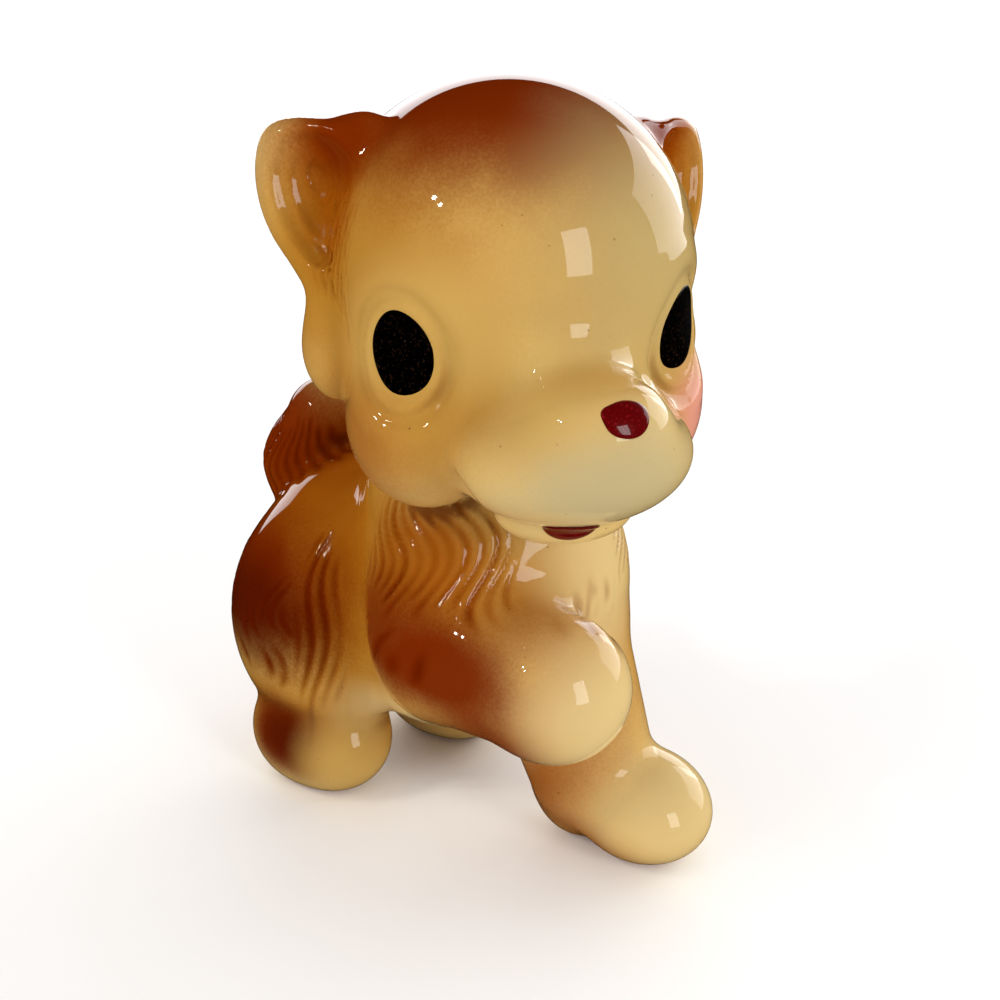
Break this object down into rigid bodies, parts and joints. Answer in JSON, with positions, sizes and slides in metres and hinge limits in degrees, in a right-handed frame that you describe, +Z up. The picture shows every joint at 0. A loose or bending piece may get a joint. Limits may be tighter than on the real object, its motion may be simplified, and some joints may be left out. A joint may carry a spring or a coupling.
{
  "type": "ceramic dog figurine",
  "caption": "Free-standing slip-cast pottery puppy with a big turned head, a lifted foreleg and painted enamel eyes, nose and tongue.",
  "frame": {"origin": "on the table, under the middle of the figurine's box", "axes": "+Z up, the body faces -Y, and its left side is towards +X"},
  "size_m": [0.08, 0.1298, 0.1517],
  "materials": {
    "honey_glaze": "glossy clear glaze over airbrushed honey brown, fading to cream on the snout",
    "ear_glaze": "glossy clear glaze over brown, paler on the rim",
    "russet_glaze": "glossy clear glaze over airbrushed russet brown, with incised fur",
    "cream_glaze": "glossy clear glaze over greenish cream and honey brown",
    "foot_glaze": "glossy clear glaze over russet brown, bare clay sole",
    "tail_glaze": "glossy clear glaze over russet brown, with incised fur",
    "black_enamel": "satin black enamel",
    "maroon_enamel": "glossy maroon enamel"
  },
  "bodies": {
    "root": {"head_shell": "honey_glaze", "right_ear": "ear_glaze", "left_ear": "ear_glaze", "right_eye": "black_enamel", "left_eye": "black_enamel", "nose": "maroon_enamel", "tongue": "maroon_enamel", "body_shell": "russet_glaze", "raised_foreleg": "cream_glaze", "standing_foreleg": "cream_glaze", "right_hind_foot": "foot_glaze", "left_hind_foot": "foot_glaze", "tail": "tail_glaze"}
  },
  "joints": []
}
